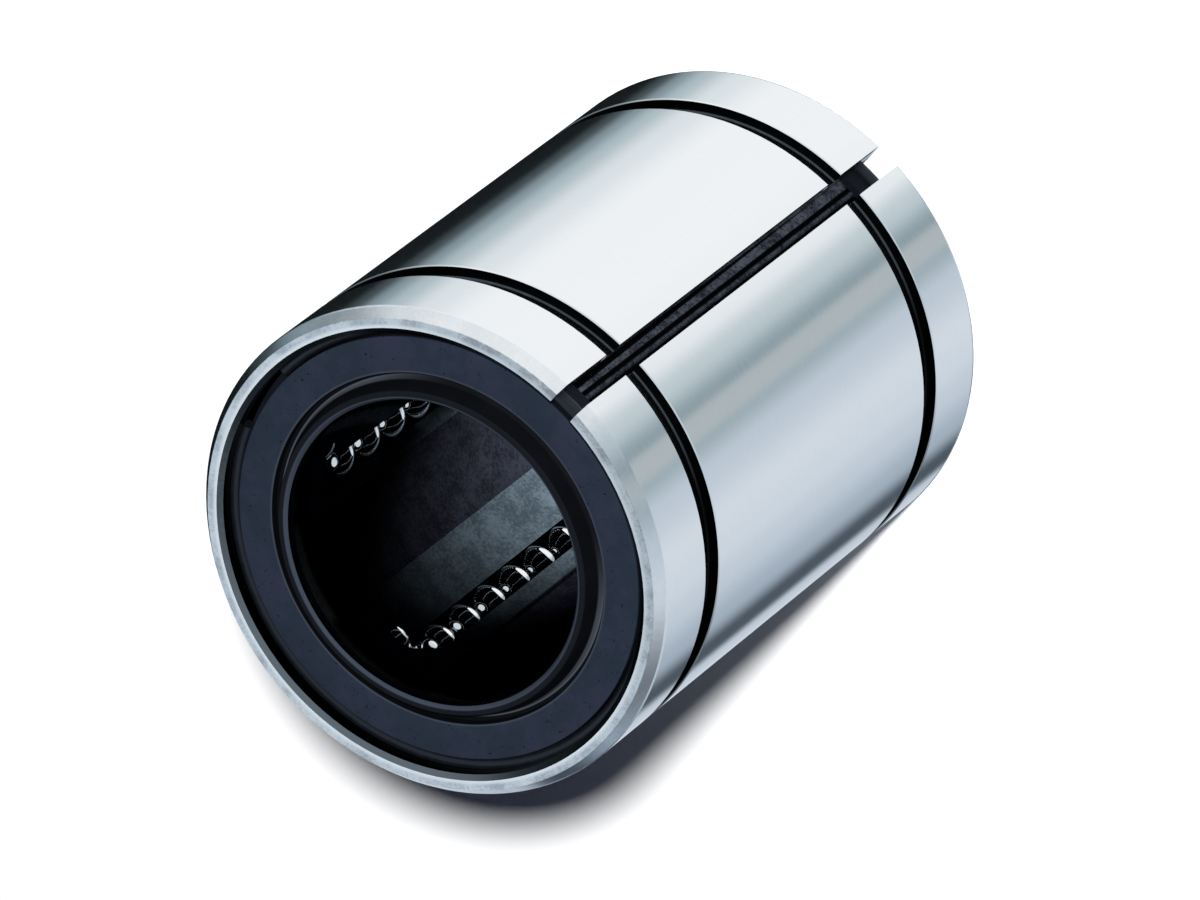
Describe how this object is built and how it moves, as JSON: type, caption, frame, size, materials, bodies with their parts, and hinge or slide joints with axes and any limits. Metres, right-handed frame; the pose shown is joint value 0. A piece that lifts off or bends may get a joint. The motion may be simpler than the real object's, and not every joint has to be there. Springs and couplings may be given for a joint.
{
  "type": "linear ball bushing",
  "caption": "Slit-type linear ball bushing: a ground steel sleeve with ring grooves and a lengthwise slit, rubber end seals and recirculating ball rows in a moulded retainer.",
  "frame": {"origin": "centre of the rear end face, on which the bushing stands", "axes": "+Z along the shaft axis from the rear end to the front end, +X through the slit in the sleeve"},
  "size_m": [0.032, 0.032, 0.042],
  "materials": {
    "sleeve_steel": "ground and hardened bearing steel, bright",
    "ball_steel": "polished bearing balls",
    "retainer_resin": "black moulded resin",
    "seal_rubber": "dark slate moulded rubber, matt",
    "spring_wire": "blackened spring wire"
  },
  "bodies": {
    "root": {"outer_sleeve": "sleeve_steel", "ball_retainer": "retainer_resin", "front_seal": "seal_rubber", "rear_seal": "seal_rubber", "front_retaining_ring": "spring_wire", "rear_retaining_ring": "spring_wire", "load_balls_1": "ball_steel", "return_balls_1": "ball_steel", "rear_turn_ball_1": "ball_steel", "front_turn_ball_1": "ball_steel", "load_balls_2": "ball_steel", "return_balls_2": "ball_steel", "rear_turn_ball_2": "ball_steel", "front_turn_ball_2": "ball_steel", "load_balls_3": "ball_steel", "return_balls_3": "ball_steel", "rear_turn_ball_3": "ball_steel", "front_turn_ball_3": "ball_steel", "load_balls_4": "ball_steel", "return_balls_4": "ball_steel", "rear_turn_ball_4": "ball_steel", "front_turn_ball_4": "ball_steel", "load_balls_5": "ball_steel", "return_balls_5": "ball_steel", "rear_turn_ball_5": "ball_steel", "front_turn_ball_5": "ball_steel"}
  },
  "joints": []
}
